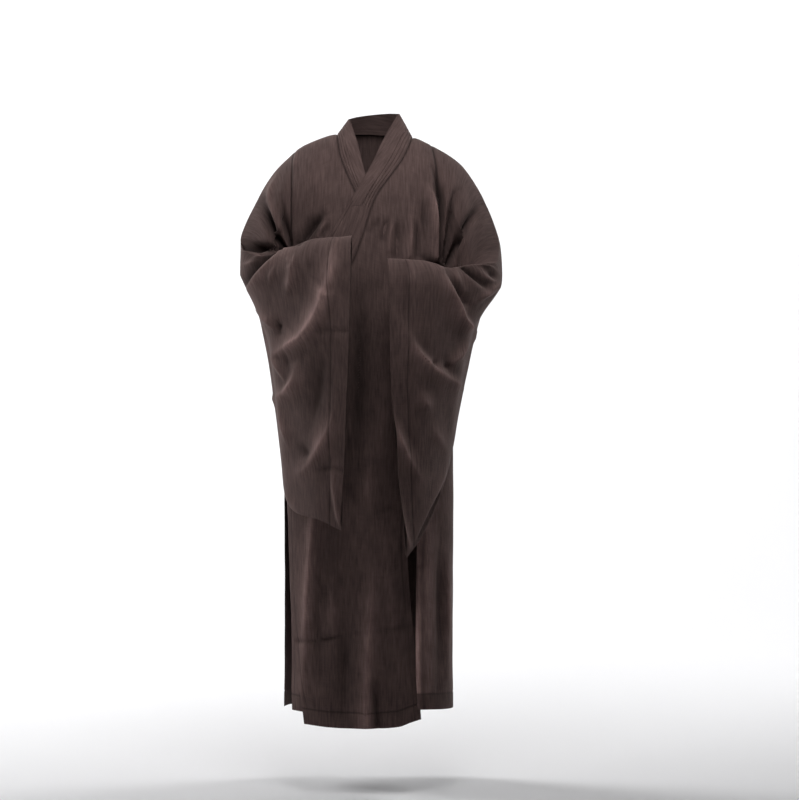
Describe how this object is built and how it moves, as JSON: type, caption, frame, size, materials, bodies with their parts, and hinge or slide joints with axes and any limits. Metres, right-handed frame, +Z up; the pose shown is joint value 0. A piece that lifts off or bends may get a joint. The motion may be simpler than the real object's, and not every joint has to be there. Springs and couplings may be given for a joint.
{
  "type": "buddhist monk robe",
  "caption": "Long brown Buddhist monk's robe with a crossed collar, side slits and wide hanging sleeves, hollow and open, held as when worn with bent arms.",
  "frame": {"origin": "midway between the two points where the shoulder ridges meet the collar, where the wearer's shoulders hold the robe", "axes": "+Z up, the front faces -Y, the wearer's left is +X"},
  "size_m": [0.5798, 0.4049, 1.3328],
  "materials": {
    "robe_cloth": "matte, finely slubbed plain weave"
  },
  "bodies": {
    "root": {"back": "robe_cloth", "front_left": "robe_cloth", "front_right": "robe_cloth", "sleeve_left": "robe_cloth", "sleeve_right": "robe_cloth", "collar_band": "robe_cloth", "collar_guard": "robe_cloth", "side_loop": "robe_cloth", "side_knot": "robe_cloth"}
  },
  "joints": []
}
